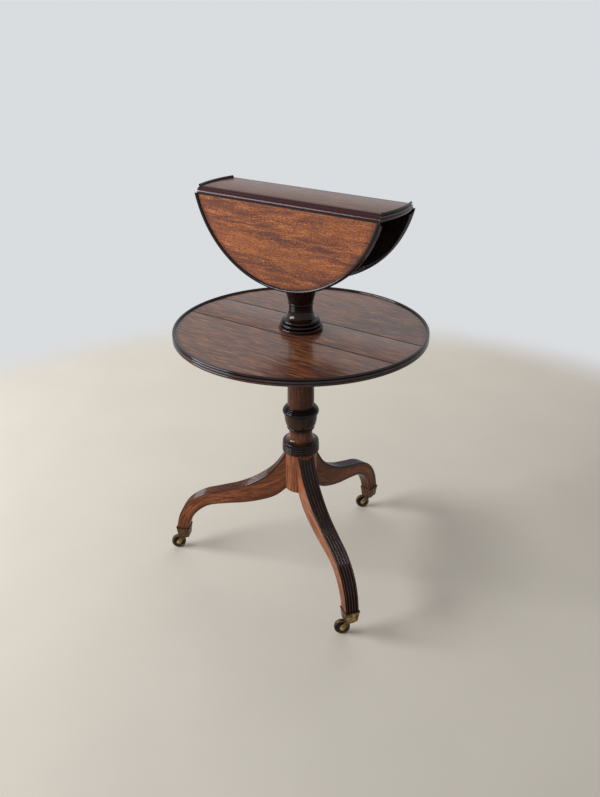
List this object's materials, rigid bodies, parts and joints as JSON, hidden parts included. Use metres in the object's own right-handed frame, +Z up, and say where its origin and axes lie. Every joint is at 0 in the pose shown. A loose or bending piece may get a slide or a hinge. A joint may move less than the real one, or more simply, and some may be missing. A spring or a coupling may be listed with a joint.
{
  "type": "dumbwaiter table",
  "caption": "Two-tier round dumbwaiter table with hinged drop leaves, on a turned column with swept reeded legs and brass castors.",
  "frame": {"origin": "on the floor, under the middle of the table's box; the column's axis stands 7 mm to the right of it and 16.2 mm in front of it", "axes": "+Z up, +X to the right along the leaf joints, +Y towards the back leaf"},
  "size_m": [0.5562, 0.5728, 0.8769],
  "materials": {
    "mahogany": "waxed, semi-gloss",
    "edge_mahogany": "dark, waxed",
    "brass": "aged, dull",
    "steel": "aged",
    "iron": "dark"
  },
  "bodies": {
    "stand": {"lower_column": "mahogany", "upper_column": "mahogany", "leg_back": "mahogany", "leg_plate_back_screw": "steel", "castor_back_cap": "brass", "castor_back_cap_screw": "brass", "leg_left": "mahogany", "leg_plate_left_screw": "steel", "castor_left_cap": "brass", "castor_left_cap_screw": "brass", "leg_right": "mahogany", "leg_plate_right_screw": "steel", "castor_right_cap": "brass", "castor_right_cap_screw": "brass", "leg_plate": "iron", "lower_centre_board": "mahogany", "lower_left_end_moulding": "edge_mahogany", "lower_right_end_moulding": "edge_mahogany", "lower_back_left_hinge_plate": "brass", "lower_back_right_hinge_plate": "brass", "lower_front_left_hinge_plate": "brass", "lower_front_right_hinge_plate": "brass", "lower_bearer_stop": "mahogany", "upper_centre_board": "mahogany", "upper_left_end_moulding": "edge_mahogany", "upper_right_end_moulding": "edge_mahogany", "upper_back_left_hinge_plate": "brass", "upper_back_right_hinge_plate": "brass", "upper_front_left_hinge_plate": "brass", "upper_front_right_hinge_plate": "brass", "upper_bearer_stop": "mahogany", "upper_fixing_screw": "steel", "upper_pellet": "edge_mahogany"},
    "lower_back_leaf": {"lower_back_leaf": "mahogany", "lower_back_leaf_moulding": "edge_mahogany", "lower_back_left_hinge_flap": "brass", "lower_back_right_hinge_flap": "brass"},
    "lower_front_leaf": {"lower_front_leaf": "mahogany", "lower_front_leaf_moulding": "edge_mahogany", "lower_front_left_hinge_flap": "brass", "lower_front_right_hinge_flap": "brass"},
    "lower_bearer": {"lower_bearer": "mahogany"},
    "upper_back_leaf": {"upper_back_leaf": "mahogany", "upper_back_leaf_moulding": "edge_mahogany", "upper_back_left_hinge_flap": "brass", "upper_back_right_hinge_flap": "brass"},
    "upper_front_leaf": {"upper_front_leaf": "mahogany", "upper_front_leaf_moulding": "edge_mahogany", "upper_front_left_hinge_flap": "brass", "upper_front_right_hinge_flap": "brass"},
    "upper_bearer": {"upper_bearer": "mahogany"},
    "castor_back_swivel": {"castor_back_horn": "brass", "castor_back_axle": "brass"},
    "castor_back_wheel": {"castor_back_wheel": "brass"},
    "castor_left_swivel": {"castor_left_horn": "brass", "castor_left_axle": "brass"},
    "castor_left_wheel": {"castor_left_wheel": "brass"},
    "castor_right_swivel": {"castor_right_horn": "brass", "castor_right_axle": "brass"},
    "castor_right_wheel": {"castor_right_wheel": "brass"}
  },
  "joints": [
    {"name": "lower_back_leaf_fold", "type": "hinge", "parent": "stand", "child": "lower_back_leaf", "pos_m": [0.00704, 0.0378, 0.58], "axis": [1, 0, 0], "range_deg": [-90, 0]},
    {"name": "lower_front_leaf_fold", "type": "hinge", "parent": "stand", "child": "lower_front_leaf", "pos_m": [0.00704, -0.0702, 0.58], "axis": [-1, 0, 0], "range_deg": [-90, 0]},
    {"name": "upper_back_leaf_fold", "type": "hinge", "parent": "stand", "child": "upper_back_leaf", "pos_m": [0.00704, 0.0378, 0.861], "axis": [1, 0, 0], "range_deg": [0, 90]},
    {"name": "upper_front_leaf_fold", "type": "hinge", "parent": "stand", "child": "upper_front_leaf", "pos_m": [0.00704, -0.0702, 0.861], "axis": [-1, 0, 0], "range_deg": [0, 90]},
    {"name": "lower_bearer_swing", "type": "hinge", "parent": "stand", "child": "lower_bearer", "pos_m": [0.00704, -0.0162, 0.5677], "axis": [0, 0, 1], "range_deg": [0, 90]},
    {"name": "upper_bearer_swing", "type": "hinge", "parent": "stand", "child": "upper_bearer", "pos_m": [0.00704, -0.0162, 0.8487], "axis": [0, 0, 1], "range_deg": [0, 20]},
    {"name": "castor_back_turn", "type": "hinge", "parent": "stand", "child": "castor_back_swivel", "pos_m": [0.02699, 0.2691, 0.036], "axis": [0, 0, 1], "continuous": true},
    {"name": "castor_back_roll", "type": "hinge", "parent": "castor_back_swivel", "child": "castor_back_wheel", "pos_m": [0.01388, 0.25993, 0.017], "axis": [0.5736, -0.8192, 0], "continuous": true},
    {"name": "castor_left_turn", "type": "hinge", "parent": "stand", "child": "castor_left_swivel", "pos_m": [-0.25002, -0.14157, 0.036], "axis": [0, 0, 1], "continuous": true},
    {"name": "castor_left_roll", "type": "hinge", "parent": "castor_left_swivel", "child": "castor_left_wheel", "pos_m": [-0.26312, -0.15075, 0.017], "axis": [0.5736, -0.8192, 0], "continuous": true},
    {"name": "castor_right_turn", "type": "hinge", "parent": "stand", "child": "castor_right_swivel", "pos_m": [0.24414, -0.17613, 0.036], "axis": [0, 0, 1], "continuous": true},
    {"name": "castor_right_roll", "type": "hinge", "parent": "castor_right_swivel", "child": "castor_right_wheel", "pos_m": [0.23104, -0.18531, 0.017], "axis": [0.5736, -0.8192, 0], "continuous": true}
  ]
}
